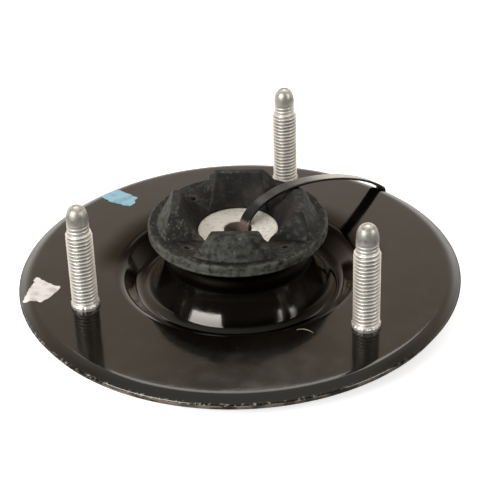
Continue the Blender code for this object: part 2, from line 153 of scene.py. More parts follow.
# Studio, in metres, and how white its paper is
FLOOR_REACH = 3.0
FLOOR_LEVEL = -0.0004
PAPER_WHITE = 0.93
PAPER_LIFT = 0.55


def make_piece(name, vertices, quads, triangles, uv, finish, node):
    """One closed smooth piece of the part, with its faces turned outward."""
    a, b, c, d = (vertices[quads[:, i]] for i in range(4))
    e, f, g = (vertices[triangles[:, i]] for i in range(3))
    volume = sum(np.einsum("ij,ij->", p, np.cross(q, r)) for p, q, r in ((a, b, c), (a, c, d), (e, f, g)))
    if volume < 0:
        quads, triangles = quads[:, ::-1], triangles[:, ::-1]
    corners = np.concatenate([quads.ravel(), triangles.ravel()])
    counts = np.concatenate([np.full(len(quads), 4), np.full(len(triangles), 3)])
    mesh = bpy.data.meshes.new(name)
    mesh.vertices.add(len(vertices))
    mesh.vertices.foreach_set("co", (vertices * MM).ravel())
    mesh.loops.add(len(corners))
    mesh.loops.foreach_set("vertex_index", corners)
    mesh.polygons.add(len(counts))
    mesh.polygons.foreach_set("loop_start", np.cumsum(counts) - counts)
    mesh.polygons.foreach_set("use_smooth", np.ones(len(counts), dtype=bool))
    mesh.update(calc_edges=True)
    mesh.uv_layers.new(name="place").data.foreach_set("uv", uv[corners].ravel())
    mesh.materials.append(finish)
    piece = bpy.data.objects.new(name, mesh)
    bpy.context.scene.collection.objects.link(piece)
    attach(piece, "root")
    if node:
        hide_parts(node)
    return piece


def skin(name, grid, finish, node=None, uv=None, loop=False, poles=()):
    """A surface through a grid of points, closed along its rows.

    Row i holds the points P[i, j], and each face joins P[i, j], P[i, j + 1],
    P[i + 1, j + 1] and P[i + 1, j]. The rows close in a loop, or in a pole at each end.
    """
    rows, columns = grid.shape[:2]
    index = np.arange(rows * columns).reshape(rows, columns)
    ahead = np.roll(index, -1, axis=1)
    here, there = (index, np.roll(index, -1, axis=0)) if loop else (index[:-1], index[1:])
    here_on, there_on = (ahead, np.roll(ahead, -1, axis=0)) if loop else (ahead[:-1], ahead[1:])
    quads = np.stack([here, here_on, there_on, there], axis=-1).reshape(-1, 4)
    fans = [np.empty((0, 3), dtype=int)]
    vertices = grid.reshape(-1, 3)
    for number, pole in enumerate(poles):
        row = -number
        tip = np.full(columns, rows * columns + number)
        fan = [tip, ahead[row], index[row]] if number == 0 else [tip, index[row], ahead[row]]
        fans.append(np.stack(fan, axis=-1))
        vertices = np.concatenate([vertices, [pole]])
    if uv is None:
        along, around = np.linspace(0, 1, rows), np.linspace(0, 1, columns)
        uv = np.stack(np.meshgrid(along, around, indexing="ij"), axis=-1)
    uv = np.concatenate([uv.reshape(-1, 2), np.zeros((len(poles), 2))])
    return make_piece(name, vertices, quads, np.concatenate(fans), uv, finish, node)


def arc(centre, radius, start, end, steps):
    """Points centre + radius (cos t, sin t), for t from start to end."""
    t = np.linspace(start, end, steps)
    return np.stack([centre[0] + radius * np.cos(t), centre[1] + radius * np.sin(t)], axis=-1)


def straight(start, end, steps):
    """Evenly spaced points of a line, without its two ends."""
    t = np.linspace(0, 1, steps + 2)[1:-1, None]
    return np.asarray(start) * (1 - t) + np.asarray(end) * t


def rounded(corners, steps=6, guard=0.15):
    """A closed section whose corners, given as (radius, height, fillet), are eased by arcs.

    A guard point beside each arc keeps the shading of the flat faces flat.
    """
    points = np.array([corner[:2] for corner in corners], dtype=float)
    section = []
    for i, (_, _, fillet) in enumerate(corners):
        corner = points[i]
        back, on = points[i - 1] - corner, points[(i + 1) % len(points)] - corner
        back, on = back / np.linalg.norm(back), on / np.linalg.norm(on)
        half = math.acos(np.clip(back @ on, -1, 1)) / 2
        reach = fillet / math.tan(half)
        middle = (back + on) / np.linalg.norm(back + on)
        centre = corner + middle * fillet / math.sin(half)
        t = np.linspace(0, 1, steps)[:, None]
        ends = corner + back * reach, corner + on * reach
        chord = ends[0] * (1 - t) + ends[1] * t - centre
        curve = centre + chord / np.linalg.norm(chord, axis=1, keepdims=True) * fillet
        section += [ends[0][None] + back * guard, curve, ends[1][None] + on * guard]
    return np.concatenate(section)


def turned(section, segments):
    """The grid (r cos a, r sin a, z) of a section of points (r, z) turned about Z."""
    a = np.arange(segments) * math.tau / segments
    r, z = section[:, 0, None], section[:, 1, None]
    return np.stack([r * np.cos(a), r * np.sin(a), z + 0 * a], axis=-1)


def smooth_lower(a, b, blend):
    """The lower of two values, eased where they are nearer than the blend."""
    near = np.clip(0.5 + 0.5 * (b - a) / blend, 0, 1)
    return b + (a - b) * near - blend * near * (1 - near)


def smooth_higher(a, b, blend):
    """The higher of two values, eased where they are nearer than the blend."""
    return -smooth_lower(-a, -b, blend)


def plate_upper():
    """The plate's upper section: dome, wall, trough, shoulder, flat ring and rolled rim."""
    bend = np.array([DOME_RADIUS - DOME_BEND, DOME_TOP - DOME_BEND])
    foot = np.array([TROUGH_RADIUS, PLATE_TOP - TROUGH_DEPTH + DOME_FILLET])
    apart = math.dist(bend, foot)
    to_bend, to_foot = DOME_WALL_CURVE + DOME_BEND, DOME_WALL_CURVE - DOME_FILLET
    lean = math.acos((to_bend**2 + apart**2 - to_foot**2) / (2 * to_bend * apart))
    top = math.atan2(foot[1] - bend[1], foot[0] - bend[0]) + lean
    wall_centre = bend + to_bend * np.array([math.cos(top), math.sin(top)])
    low = math.atan2(wall_centre[1] - foot[1], wall_centre[0] - foot[0])
    over = arc(bend, DOME_BEND, math.pi / 2, top, 14)
    wall = arc(wall_centre, DOME_WALL_CURVE, top + math.pi, low + math.pi, 20)
    down = arc(foot, DOME_FILLET, low - math.pi, -math.pi / 2, 14)
    turn = TROUGH_SLOPE - math.pi / 2
    rounds = TROUGH_FILLET + TROUGH_SHOULDER
    slope_run = (TROUGH_DEPTH - rounds * (1 - math.cos(TROUGH_SLOPE))) / math.tan(TROUGH_SLOPE)
    hollow_centre = (TROUGH_RADIUS, PLATE_TOP - TROUGH_DEPTH + TROUGH_FILLET)
    shoulder_out = TROUGH_RADIUS + rounds * math.sin(TROUGH_SLOPE) + slope_run
    shoulder_centre = (shoulder_out, PLATE_TOP - TROUGH_SHOULDER)
    hollow = arc(hollow_centre, TROUGH_FILLET, -math.pi / 2, turn, 16)
    shoulder = arc(shoulder_centre, TROUGH_SHOULDER, math.pi + turn, math.pi / 2, 14)
    centre = (PLATE_RADIUS - RIM_WIDTH, PLATE_TOP - RIM_BEND)
    rim = arc(centre, RIM_BEND, math.pi / 2, math.pi / 2 - RIM_TURN, 9)
    run = PLATE_RADIUS - rim[-1, 0]
    edge = np.array([[PLATE_RADIUS, rim[-1, 1] - run * math.tan(RIM_TURN)]])
    return np.concatenate(
        [
            straight((DOME_HOLE_RADIUS - 1, DOME_TOP), over[0], 6)[1:],
            over,
            wall[1:],
            down[1:],
            hollow[1:],
            straight(hollow[-1], shoulder[0], 3),
            shoulder,
            straight(shoulder[-1], rim[0], 14),
            rim,
            straight(rim[-1], edge[0], 2),
            edge,
        ]
    )


def beside(section, distance):
    """The section moved sideways by a distance, to the right of its travel."""
    along = np.gradient(section, axis=0)
    along /= np.linalg.norm(along, axis=1, keepdims=True)
    return section + distance * np.stack([along[:, 1], -along[:, 0]], axis=-1)


def make_plate(finish):
    """The plate: its upper section, the sheared edge, and the same section one sheet below."""
    upper = plate_upper()
    lower = beside(upper, SHEET)[::-1]
    edge = straight(upper[-1], lower[0], 8)
    inner = straight(lower[-1], upper[0], 4)
    section = np.concatenate([upper, edge, lower, inner])
    return skin("plate", turned(section, 480), finish, "mounting_plate", loop=True)


def thread_depth(turns):
    """How far the thread's surface lies below its crest, from 0 to 1, at a place in its turn."""
    flank = np.abs((turns % 1.0) * 2 - 1)
    return np.clip((flank - 0.16) / 0.66, 0, 1)


def stud_profile():
    """The bare stud's radius and height from its tip down: nose, pilot, shank, collar and head."""
    head_top = -SHEET - GAP
    head_low = head_top - STUD_HEAD_THICKNESS
    nose = np.linspace(0, math.pi / 2, 16)[1:]
    nose_radius = NOSE_FLAT + (PILOT_RADIUS - NOSE_FLAT) * np.sin(nose)
    nose_height = STUD_HEIGHT - NOSE_LENGTH * (1 - np.cos(nose))
    body = np.arange(nose_height[-1] - 0.15, NECK_HEIGHT, -0.107)
    body_radius = np.interp(body, [THREAD_END, PILOT_START], [THREAD_RADIUS, PILOT_RADIUS])
    dimple = [(1.1, STUD_HEIGHT - 0.35), (1.35, STUD_HEIGHT - 0.05), (NOSE_FLAT - 0.05, STUD_HEIGHT)]
    below = [
        (NECK_RADIUS, NECK_HEIGHT),
        (NECK_RADIUS + 0.1, NECK_HEIGHT * 0.7),
        (NECK_RADIUS, 0.1),
        (NECK_RADIUS, head_top + 0.05),
        (NECK_RADIUS + 0.1, head_top),
        (STUD_HEAD_RADIUS - 0.3, head_top),
        (STUD_HEAD_RADIUS, head_top - 0.3),
        (STUD_HEAD_RADIUS, head_low + 0.4),
        (STUD_HEAD_RADIUS - 0.12, head_low + 0.12),
        (STUD_HEAD_RADIUS - 0.4, head_low),
        (STUD_HEAD_RADIUS - 0.6, head_low),
    ]
    nose = np.stack([nose_radius, nose_height], axis=-1)
    body = np.stack([body_radius, body], axis=-1)
    return np.concatenate([dimple, nose, body, below])


def thread_cut(z):
    """How much of the thread's depth is cut at a height: all of it on the shank, little on the pilot."""
    run_out = [THREAD_END - 0.5, PILOT_START, STUD_HEIGHT - 6.5, STUD_HEIGHT - 5.6]
    return np.clip((z - NECK_HEIGHT) / 1.2, 0, 1) * np.interp(z, run_out, [1, 0.30, 0.18, 0])


def make_stud(name, finish):
    """A stud: r(a, z) is the bare section's radius less the depth of a helical thread.

    The thread's place in its turn is z / pitch - a / (2 pi). It runs out on the pilot, and
    the collar under it is a little ragged from being pressed in.
    """
    inset, direction, turn = STUDS[name]
    profile = stud_profile()
    r, z = profile[:, 0, None], profile[:, 1, None]
    a = np.arange(96) * math.tau / 96
    depth = thread_depth(z / THREAD_PITCH - a / math.tau + turn) * thread_cut(z)
    collar = np.interp(z, [0.0, 0.4, NECK_HEIGHT, NECK_HEIGHT + 0.5], [0, 1, 1, 0])
    ragged = 0.16 * np.sin(17 * a + turn) + 0.12 * np.sin(29 * a + 3 * turn) + 0.06 * np.sin(5 * a)
    r = r - THREAD_DEPTH * depth + collar * ragged
    distance = PLATE_RADIUS - inset
    centre = [distance * math.cos(direction), distance * math.sin(direction)]
    x, y = centre[0] + r * np.cos(a), centre[1] + r * np.sin(a)
    grid = np.stack([x, y, PLATE_TOP + z + 0 * a], axis=-1)
    # The second UV coordinate carries the thread's depth, for the painted shade in its roots.
    uv = np.stack([(z + 0 * a) * MM, depth], axis=-1)
    tip = [*centre, PLATE_TOP + STUD_HEIGHT - 0.45]
    foot = [*centre, PLATE_TOP + profile[-1, 1]]
    return skin(name + "_thread", grid, finish, name, uv=uv, poles=[tip, foot])


def lobe_level(out, side):
    """How high up a lobe's side a point lies: 0 on the foot's outline and 1 on the crest's.

    Each of the lobe's sides is a ruled surface between its foot and crest edges, and the
    lowest of the four levels, eased where two meet, is the lobe's.
    """
    side = np.abs(side)
    inner_foot = np.sqrt(np.maximum(FOOT_INNER**2 - side**2, 25.0))
    outer_foot = np.sqrt(np.maximum(FOOT_OUTER**2 - side**2, 100.0))
    inner = (out - inner_foot) / (CREST_INNER - inner_foot)
    outer = (outer_foot - out) / (outer_foot - CREST_OUTER)
    along_foot = np.clip((out - FOOT_INNER) / (FOOT_OUTER - FOOT_INNER), -0.1, 1.1)
    along_crest = np.clip((out - CREST_INNER) / (CREST_OUTER - CREST_INNER), -0.6, 2.0)
    half_foot = FOOT_INNER_HALF + (FOOT_OUTER_HALF - FOOT_INNER_HALF) * along_foot
    half_crest = CREST_INNER_HALF + (CREST_OUTER_HALF - CREST_INNER_HALF) * along_crest
    flank = (half_foot - side) / np.maximum(half_foot - half_crest, 0.6)
    level = smooth_lower(smooth_lower(inner, outer, 0.12), flank, 0.16)
    return smooth_lower(level, 1.0, 0.10)


def cushion_height(r, a):
    """The upper cushion's top: a shallow cone, the four lobes blended on it, and the pinholes."""
    start = FOOT_INNER - 1.3
    cone = FLANGE_TOP - CONE_DROP * (TOP_END - r) / (TOP_END - start)
    height = cone
    for quarter in range(4):
        turn = CUSHION_TURN + quarter * math.pi / 2
        out, side = r * np.cos(a - turn), r * np.sin(a - turn)
        level = np.where(out > 5, lobe_level(out, side), -1.0)
        height = smooth_higher(height, FLANGE_TOP + LOBE_HEIGHT * np.maximum(level, -0.8), 0.9)
        valley = turn + math.pi / 4
        away = np.hypot(r * np.cos(a - valley) - PINHOLE_PLACE, r * np.sin(a - valley))
        height = height - PINHOLE_DEPTH * np.exp(-((away / (0.75 * PINHOLE_RADIUS)) ** 4))
    return height


def cushion_inside():
    """The cushion's inner face from its hole out over the disc's seat and up to its lip."""
    recess = DISC_RADIUS + GAP
    seat = DISC_UNDER - GAP
    lip = DISC_TOP + LIP_HEIGHT
    points = [
        (TUBE_RADIUS + GAP, seat),
        (recess - 0.2, seat),
        (recess, seat + 0.2),
        (recess, lip - 0.4),
        (recess + 0.12, lip - 0.1),
        (recess + 0.4, lip + 0.15),
    ]
    return np.array(points)


def cushion_flange():
    """The flange's outer face from its top corner down, with the mould line as a fine groove."""
    corner = arc((TOP_END, FLANGE_TOP - FLANGE_CORNER), FLANGE_CORNER, math.radians(82), 0, 7)
    inset = [0.0, 0.0, 0.02, 0.22, 0.24, 0.02, -0.02, 0.0]
    down = [2.2, 3.0, 3.12, 3.22, 3.34, 3.44, 3.56, 3.7]
    band = np.stack([FLANGE_RADIUS - np.array(inset), FLANGE_TOP - np.array(down)], axis=-1)
    low_corner = (FLANGE_RADIUS - 0.9, FLANGE_TOP - FLANGE_THICKNESS + 0.9)
    return np.concatenate([corner, band, arc(low_corner, 0.9, 0, -math.pi / 2, 6)])


def cushion_below():
    """The cushion's under face, over the dome's top and down the spigot in its hole."""
    under = FLANGE_TOP - FLANGE_THICKNESS
    spigot = DOME_HOLE_RADIUS - GAP
    flat = DOME_RADIUS - DOME_BEND
    points = [
        (FLANGE_ROOT_RADIUS + 1.5, under),
        (FLANGE_ROOT_RADIUS, under - 0.1),
        (FLANGE_ROOT_RADIUS - 1.2, under - 1.2),
        (flat + 0.3, DOME_TOP + GAP + 0.1),
        (flat, DOME_TOP + GAP),
        (spigot, DOME_TOP + GAP),
        (spigot, DOME_TOP - 0.2),
        (spigot, DOME_UNDER + 0.3),
        (spigot - 0.3, DOME_UNDER),
        (TUBE_RADIUS + GAP, DOME_UNDER),
    ]
    return np.array(points)


def make_upper_cushion(finish):
    """The upper cushion: a turned section whose top rows follow the lobes' height."""
    inside = cushion_inside()
    start = DISC_RADIUS + GAP + LIP_WIDTH
    top = np.stack([np.linspace(start, TOP_END, 108), np.zeros(108)], axis=-1)
    section = np.concatenate([inside, top, cushion_flange(), cushion_below()])
    grid = turned(section, 560)
    rows = slice(len(inside), len(inside) + len(top))
    a = np.arange(560) * math.tau / 560
    grid[rows, :, 2] = cushion_height(top[:, 0, None], a)
    return skin("upper_rubber", grid, finish, "upper_cushion", loop=True)


def make_turned(name, corners, segments, finish, node):
    """A plain turned piece with eased corners."""
    return skin(name, turned(rounded(corners), segments), finish, node, loop=True)


def make_sleeve(finish):
    """The flanged sleeve: disc and tube, with the bore's edge eased."""
    foot = WASHER_TOP + GAP
    corners = [
        (BORE_RADIUS, DISC_TOP, 0.35),
        (DISC_RADIUS, DISC_TOP, 0.3),
        (DISC_RADIUS, DISC_UNDER, 0.2),
        (TUBE_RADIUS, DISC_UNDER, 0.2),
        (TUBE_RADIUS, foot, 0.2),
        (BORE_RADIUS, foot, 0.2),
    ]
    return make_turned("sleeve", corners, 192, finish, "flanged_sleeve")


def make_lower_cushion(finish):
    """The lower rubber ring under the dome."""
    hole = TUBE_RADIUS + GAP
    corners = [
        (hole, LOWER_TOP, 0.3),
        (LOWER_WIDE, LOWER_TOP, 1.5),
        (LOWER_NARROW, LOWER_UNDER, 1.5),
        (hole, LOWER_UNDER, 0.3),
    ]
    return make_turned("lower_rubber", corners, 192, finish, "lower_cushion")


def make_washer(finish):
    """The thick washer below the lower cushion."""
    corners = [
        (BORE_RADIUS, WASHER_TOP, 0.3),
        (WASHER_RADIUS, WASHER_TOP, 0.4),
        (WASHER_RADIUS, WASHER_UNDER, 0.4),
        (BORE_RADIUS, WASHER_UNDER, 0.3),
    ]
    return make_turned("washer", corners, 192, finish, "lower_washer")


def tangent_angle(centre_a, radius_a, centre_b, radius_b):
    """The angle from each centre to where one line touches both circles from below."""
    across, up = centre_b[0] - centre_a[0], centre_b[1] - centre_a[1]
    return math.atan2(up, across) - math.acos((radius_a - radius_b) / math.hypot(across, up))


def tie_route():
    """The tie's middle line in its upright plane, as one closed loop of (outward, height)."""
    lift = GAP + TIE_THICKNESS / 2
    inside = math.sqrt(BORE_RADIUS**2 - (TIE_WIDTH / 2) ** 2) - GAP - lift
    out = np.array([math.cos(-RIM_TURN), math.sin(-RIM_TURN)])
    edge = plate_upper()[-1]
    wrap = edge - out * lift + np.array([out[1], -out[0]]) * SHEET / 2
    trough = (TROUGH_RADIUS, PLATE_TOP - TROUGH_DEPTH + TROUGH_FILLET)
    trough_radius = TROUGH_FILLET + SHEET + lift
    turn = (inside + TIE_TURN_RADIUS, WASHER_UNDER + TIE_THICKNESS)
    outer_touch = tangent_angle(trough, trough_radius, wrap, TIE_WRAP_RADIUS)
    inner_touch = tangent_angle(turn, TIE_TURN_RADIUS, trough, trough_radius)
    wrapped = arc(wrap, TIE_WRAP_RADIUS, math.pi / 2 - TIE_FALL, outer_touch, 30)
    under = arc(trough, trough_radius, outer_touch, inner_touch, 12)
    turned_up = arc(turn, TIE_TURN_RADIUS, inner_touch, -math.pi, 20)
    start, end = np.array([inside, DISC_TOP]), wrapped[0]
    rise = start + np.array([TIE_LEAN, TIE_RISE])
    fall = end + TIE_REACH * np.array([-math.cos(TIE_FALL), math.sin(TIE_FALL)])
    t = np.linspace(0, 1, 90)[:, None]
    arch = (1 - t) ** 3 * start + 3 * t * (1 - t) ** 2 * rise + 3 * t**2 * (1 - t) * fall + t**3 * end
    return np.concatenate([arch, wrapped[1:], under, turned_up])


def even(route, spacing, closed):
    """The same route as evenly spaced points, which also says how long it is."""
    ring = np.concatenate([route, route[:1]]) if closed else route
    lengths = np.concatenate([[0], np.cumsum(np.linalg.norm(np.diff(ring, axis=0), axis=1))])
    count = int(lengths[-1] / spacing)
    at = np.linspace(0, lengths[-1], count, endpoint=not closed)
    return np.stack([np.interp(at, lengths, ring[:, i]) for i in range(2)], axis=-1), lengths[-1]


def softened(route, passes):
    """The closed route with its joints between curves eased by averaging neighbours."""
    for _ in range(passes):
        route = (np.roll(route, 1, axis=0) + 2 * route + np.roll(route, -1, axis=0)) / 4
    return route


def band_section(count):
    """The band's cross-section (across, through): a superellipse with a thicker lip at each edge."""
    t = np.arange(count) * math.tau / count
    across = np.sign(np.cos(t)) * np.abs(np.cos(t)) ** 0.22 * TIE_WIDTH / 2
    through = np.sign(np.sin(t)) * np.abs(np.sin(t)) ** 0.45 * TIE_THICKNESS / 2
    hollow = 0.16 * np.exp(-((across / (0.36 * TIE_WIDTH)) ** 6))
    return across, through * (1 - hollow)


def upright(points):
    """Points (outward, height, across) of the tie's plane, in the part's frame."""
    out, across = math.cos(TIE_DIRECTION), math.sin(TIE_DIRECTION)
    x = points[..., 0] * out + points[..., 2] * across
    y = points[..., 0] * across - points[..., 2] * out
    return np.stack([x, y, points[..., 1]], axis=-1)


def sweep(route, closed):
    """The band's section carried along a route, square to its travel."""
    along = np.gradient(route, axis=0)
    if closed:
        along = np.roll(route, -1, axis=0) - np.roll(route, 1, axis=0)
    along /= np.linalg.norm(along, axis=1, keepdims=True)
    left = np.stack([-along[:, 1], along[:, 0]], axis=-1)
    across, through = band_section(28)
    plane = route[:, None, :] + through[None, :, None] * left[:, None, :]
    side = np.broadcast_to(across, plane.shape[:2])
    return np.concatenate([plane, side[..., None]], axis=-1)


def band_height(route, place):
    """The height of the band's lower run at a distance from the axis."""
    low = route[(route[:, 1] < PLATE_TOP - SHEET) & (route[:, 0] > TIE_WRAP_RADIUS + BORE_RADIUS)]
    order = np.argsort(low[:, 0])
    return float(np.interp(place, low[order, 0], low[order, 1]))


def make_tie(finish):
    """The nylon tie: the band's closed loop, its locking head and the stub of its tail."""
    route, length = even(softened(even(tie_route(), 0.12, True)[0], 30), 0.12, True)
    grid = sweep(route, True)
    place = np.linspace(0, length, len(route), endpoint=False)
    uv = np.stack(np.broadcast_arrays(place[:, None] * MM, grid[..., 2] / TIE_WIDTH), axis=-1)
    skin("tie_band", upright(grid), finish, "cable_tie", uv=uv, loop=True)
    upper = plate_upper()
    flat = upper[np.abs(upper[:, 1] - PLATE_TOP) < 1e-6, 0]
    place = (flat.min() + flat.max()) / 2
    low = band_height(route, place) - TIE_THICKNESS
    make_block("tie_head", (place, low + TIE_HEAD[1] / 2, 0), TIE_HEAD, finish)
    tail = TIE_HEAD[0] / 2 + TIE_TAIL_LENGTH
    height = low + TIE_HEAD[1] - TIE_HEAD_WALL - TIE_THICKNESS / 2
    make_block("tie_tail", (place - tail / 2, height, 0), (tail, TIE_THICKNESS, TIE_WIDTH), finish)


def make_block(name, centre, size, finish):
    """A rounded block: the superellipsoid |x|^n + |y|^n + |z|^n = 1, stretched to its size."""
    e = 0.2
    v = np.linspace(-math.pi / 2, math.pi / 2, 41)[1:-1, None]
    u = np.arange(64) * math.tau / 64
    flat, tall = np.abs(np.cos(v)) ** e, np.sign(np.sin(v)) * np.abs(np.sin(v)) ** e
    x = flat * np.sign(np.cos(u)) * np.abs(np.cos(u)) ** e
    z = flat * np.sign(np.sin(u)) * np.abs(np.sin(u)) ** e
    grid = np.stack([x, tall + 0 * u, z], axis=-1) * np.array(size) / 2 + np.array(centre)
    ends = np.array([[0, -1, 0], [0, 1, 0]]) * np.array(size) / 2 + np.array(centre)
    return skin(name, upright(grid), finish, poles=upright(ends))


def plate_surface(r):
    """The height of the plate's upper face at a radius on its flat ring or rolled rim."""
    upper = plate_upper()
    outer = upper[upper[:, 0] > TROUGH_RADIUS + TROUGH_SHOULDER]
    return np.interp(r, outer[:, 0], outer[:, 1])


def make_mark(name, outline, finish, seed):
    """A thin patch of paint: z = plate + t (1 - f^8) over f in 0..1 from its middle to its edge.

    The outline is a few corner points, joined in order and roughened by seeded noise.
    """
    random = np.random.default_rng(seed)
    corners = np.array(outline, dtype=float)
    ring, _ = even(corners, 0.4, True)
    ring = softened(ring, 3)
    rough = softened(random.normal(0, 0.5, (len(ring), 2)), 3)
    ring = ring + rough
    middle = ring.mean(axis=0)
    f = np.concatenate([np.linspace(0.05, 0.9, 14), [0.95, 0.98, 1.0]])[:, None, None]
    flat = middle + f * (ring - middle)
    base = plate_surface(np.linalg.norm(flat, axis=-1))
    top = np.concatenate([flat, (base + 0.01 + 0.07 * (1 - f[..., 0] ** 8))[..., None]], axis=-1)
    bottom = np.concatenate([flat, (base - 0.03)[..., None]], axis=-1)[::-1]
    centre_height = float(plate_surface(np.linalg.norm(middle)))
    poles = [[*middle, centre_height + 0.08], [*middle, centre_height - 0.03]]
    return skin(name, np.concatenate([top, bottom]), finish, poles=poles)


def make_lint(finish):
    """A curled fibre on the plate: a tube of radius 0.11 round a smooth line through four points."""
    bends = np.array([[19.9, -44.6], [22.1, -43.5], [24.2, -44.6], [25.9, -46.9]])
    t = np.linspace(0, 1, 60)
    weights = [(1 - t) ** 3, 3 * t * (1 - t) ** 2, 3 * t**2 * (1 - t), t**3]
    line = sum(w[:, None] * p for w, p in zip(weights, bends))
    across = np.gradient(line, axis=0)
    across = np.stack([-across[:, 1], across[:, 0]], axis=-1) / np.linalg.norm(across, axis=1)[:, None]
    radius = 0.11 * np.sin(math.pi * np.clip(t, 0.02, 0.98))[:, None] ** 0.3
    a = np.arange(8) * math.tau / 8
    base = plate_upper()
    order = np.argsort(base[:, 0])
    height = np.interp(np.linalg.norm(line, axis=1), base[order, 0], base[order, 1])[:, None] + 0.15
    flat = line[:, None] + (radius * np.cos(a))[..., None] * across[:, None]
    grid = np.concatenate([flat, (height + radius * np.sin(a))[..., None]], axis=-1)
    poles = [[*line[0], height[0, 0]], [*line[-1], height[-1, 0]]]
    return skin("fibre", grid, finish, poles=poles)


def node(tree, kind, inputs=None, **settings):
    """Adds a node, sets its options, and sets or links each input named."""
    made = tree.nodes.new(kind)
    for option, value in settings.items():
        setattr(made, option, value)
    for key, value in (inputs or {}).items():
        if isinstance(value, bpy.types.NodeSocket):
            tree.links.new(value, made.inputs[key])
        else:
            made.inputs[key].default_value = value
    return made


def patches_group():
    """A shared group: noise at a scale, as a mask between two levels."""
    tree = bpy.data.node_groups.new("patches", "ShaderNodeTree")
    tree.interface.new_socket("Place", in_out="INPUT", socket_type="NodeSocketVector")
    for name in ("Scale", "Low", "High"):
        tree.interface.new_socket(name, in_out="INPUT", socket_type="NodeSocketFloat")
    tree.interface.new_socket("Mask", in_out="OUTPUT", socket_type="NodeSocketFloat")
    given = tree.nodes.new("NodeGroupInput").outputs
    noise = {"Vector": given["Place"], "Scale": given["Scale"], "Detail": 4.0}
    noise = node(tree, "ShaderNodeTexNoise", noise)
    levels = {"Value": noise.outputs["Fac"], "From Min": given["Low"], "From Max": given["High"]}
    mask = node(tree, "ShaderNodeMapRange", levels, interpolation_type="SMOOTHSTEP")
    tree.links.new(mask.outputs["Result"], tree.nodes.new("NodeGroupOutput").inputs["Mask"])
    return tree


def polar_group():
    """A shared group: the distance from the part's axis and the direction round it."""
    tree = bpy.data.node_groups.new("polar", "ShaderNodeTree")
    tree.interface.new_socket("Place", in_out="INPUT", socket_type="NodeSocketVector")
    for name in ("Radius", "Angle", "Height"):
        tree.interface.new_socket(name, in_out="OUTPUT", socket_type="NodeSocketFloat")
    given = tree.nodes.new("NodeGroupInput").outputs
    parts = node(tree, "ShaderNodeSeparateXYZ", {"Vector": given["Place"]})
    flat = node(tree, "ShaderNodeCombineXYZ", {"X": parts.outputs["X"], "Y": parts.outputs["Y"]})
    radius = node(tree, "ShaderNodeVectorMath", {0: flat.outputs["Vector"]}, operation="LENGTH")
    sides = {0: parts.outputs["Y"], 1: parts.outputs["X"]}
    angle = node(tree, "ShaderNodeMath", sides, operation="ARCTAN2")
    result = tree.nodes.new("NodeGroupOutput")
    tree.links.new(radius.outputs["Value"], result.inputs["Radius"])
    tree.links.new(angle.outputs["Value"], result.inputs["Angle"])
    tree.links.new(parts.outputs["Z"], result.inputs["Height"])
    return tree


PATCHES = patches_group()
POLAR = polar_group()


class Finish:
    """A material under way: its tree, its Principled shader and the part's coordinates."""

    def __init__(self, name, **constants):
        self.material = bpy.data.materials.new(name)
        self.material.use_nodes = True
        self.tree = self.material.node_tree
        self.shader = self.tree.nodes["Principled BSDF"]
        for socket, value in constants.items():
            self.shader.inputs[socket.replace("_", " ")].default_value = value
        coordinates = self.tree.nodes.new("ShaderNodeTexCoord")
        self.place = coordinates.outputs["Object"]
        self.normal = coordinates.outputs["Normal"]
        self.uv = coordinates.outputs["UV"]

    def node(self, kind, inputs=None, **settings):
        """Adds a node to this material."""
        return node(self.tree, kind, inputs, **settings)

    def patches(self, scale, low, high, place=None):
        """A noise mask at this place, or at the part's own coordinates."""
        inputs = {"Place": place or self.place, "Scale": scale, "Low": low, "High": high}
        made = self.node("ShaderNodeGroup", node_tree=PATCHES)
        for key, value in inputs.items():
            if isinstance(value, bpy.types.NodeSocket):
                self.tree.links.new(value, made.inputs[key])
            else:
                made.inputs[key].default_value = value
        return made.outputs["Mask"]

    def polar(self):
        """The distance from the axis, the direction round it and the height."""
        made = self.node("ShaderNodeGroup", node_tree=POLAR)
        self.tree.links.new(self.place, made.inputs["Place"])
        return made.outputs

    def math(self, operation, a, b=0.0):
        """The result of one sum."""
        return self.node("ShaderNodeMath", {0: a, 1: b}, operation=operation).outputs["Value"]

    def product(self, first, *others):
        """Masks and numbers multiplied together."""
        for other in others:
            first = self.math("MULTIPLY", first, other)
        return first

    def noise(self, scale, detail):
        """Fine noise at the part's own coordinates."""
        inputs = {"Vector": self.place, "Scale": scale, "Detail": detail}
        return self.node("ShaderNodeTexNoise", inputs).outputs["Fac"]

    def lines(self, value, scale):
        """Noise along one value alone, which runs as fine lines across it."""
        inputs = {"W": self.product(value, scale), "Scale": 1.0, "Detail": 2.0}
        return self.node("ShaderNodeTexNoise", inputs, noise_dimensions="1D").outputs["Fac"]

    def ramp(self, value, low, high, to_low=0.0, to_high=1.0):
        """A value carried smoothly from one range to another."""
        inputs = {"Value": value, "From Min": low, "From Max": high, "To Min": to_low, "To Max": to_high}
        return self.node("ShaderNodeMapRange", inputs, interpolation_type="SMOOTHSTEP").outputs["Result"]

    def mix(self, mask, a, b):
        """Colour a where the mask is 0 and colour b where it is 1."""
        made = self.node("ShaderNodeMix", {"Factor": mask}, data_type="RGBA")
        for key, value in ((6, a), (7, b)):
            if isinstance(value, bpy.types.NodeSocket):
                self.tree.links.new(value, made.inputs[key])
            else:
                made.inputs[key].default_value = (*value, 1.0)
        return made.outputs[2]

    def set(self, socket, value):
        """Links a worked-out value to the shader."""
        self.tree.links.new(value, self.shader.inputs[socket])

    def bump(self, height, depth, before=None):
        """A bump of a real depth in metres, on top of another."""
        inputs = {"Height": height, "Distance": depth}
        if before is not None:
            inputs["Normal"] = before
        return self.node("ShaderNodeBump", inputs).outputs["Normal"]


def ring_mask(f, radius, inner, outer):
    """A mask round the axis that rises over one span of radius and falls over another."""
    return f.product(f.ramp(radius, *inner), f.ramp(radius, *outer))


